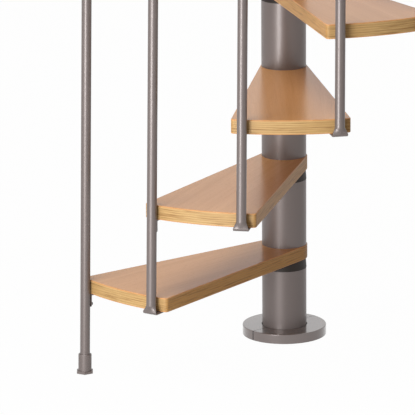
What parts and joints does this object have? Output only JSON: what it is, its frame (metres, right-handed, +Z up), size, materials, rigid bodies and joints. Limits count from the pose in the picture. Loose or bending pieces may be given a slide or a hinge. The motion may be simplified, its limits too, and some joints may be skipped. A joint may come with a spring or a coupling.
{
  "type": "spiral staircase",
  "caption": "Modular spiral staircase for one storey: stacked round column, wedge plywood treads, one tube baluster per tread, round handrail, landing board and a two-part base cover.",
  "frame": {"origin": "centre of the base plate's underside, on the column's axis at floor level", "axes": "+Z up along the column; the third tread points to -Y; the stair climbs counter-clockwise seen from above, with the first tread towards -X and -Y"},
  "size_m": [1.2861, 1.0978, 3.7038],
  "materials": {
    "silver_paint": "satin metallic powder coat",
    "cover_paint": "silver-grey lacquered cover, semi-gloss",
    "beech_plywood": "beech multi-ply with clear satin lacquer",
    "beech_handrail": "turned solid beech with clear satin lacquer",
    "dark_plastic": "dark grey moulded plastic, fine matt",
    "bracket_steel": "grey powder coat",
    "black_screw": "black oxide screw head"
  },
  "bodies": {
    "root": {"baluster_00": "silver_paint", "baluster_01": "silver_paint", "baluster_02": "silver_paint", "baluster_03": "silver_paint", "baluster_04": "silver_paint", "baluster_05": "silver_paint", "baluster_06": "silver_paint", "baluster_07": "silver_paint", "baluster_08": "silver_paint", "baluster_09": "silver_paint", "baluster_10": "silver_paint", "baluster_11": "silver_paint", "baluster_12": "silver_paint", "baluster_ends": "silver_paint", "baluster_foot": "silver_paint", "base_cover_back": "cover_paint", "base_cover_front": "cover_paint", "base_plate": "bracket_steel", "bracket_screws": "black_screw", "column_tubes": "silver_paint", "edge_brackets": "silver_paint", "handrail_ends": "silver_paint", "handrail_lower": "beech_handrail", "handrail_middle": "beech_handrail", "handrail_upper": "beech_handrail", "landing_angle_end": "bracket_steel", "landing_angle_side": "bracket_steel", "landing_balusters": "silver_paint", "landing_board": "beech_plywood", "landing_feet": "silver_paint", "landing_rail": "beech_handrail", "newel_cap": "silver_paint", "newel_post": "silver_paint", "spacer_rings": "dark_plastic", "tread_01": "beech_plywood", "tread_02": "beech_plywood", "tread_03": "beech_plywood", "tread_04": "beech_plywood", "tread_05": "beech_plywood", "tread_06": "beech_plywood", "tread_07": "beech_plywood", "tread_08": "beech_plywood", "tread_09": "beech_plywood", "tread_10": "beech_plywood", "tread_11": "beech_plywood", "tread_12": "beech_plywood"}
  },
  "joints": []
}
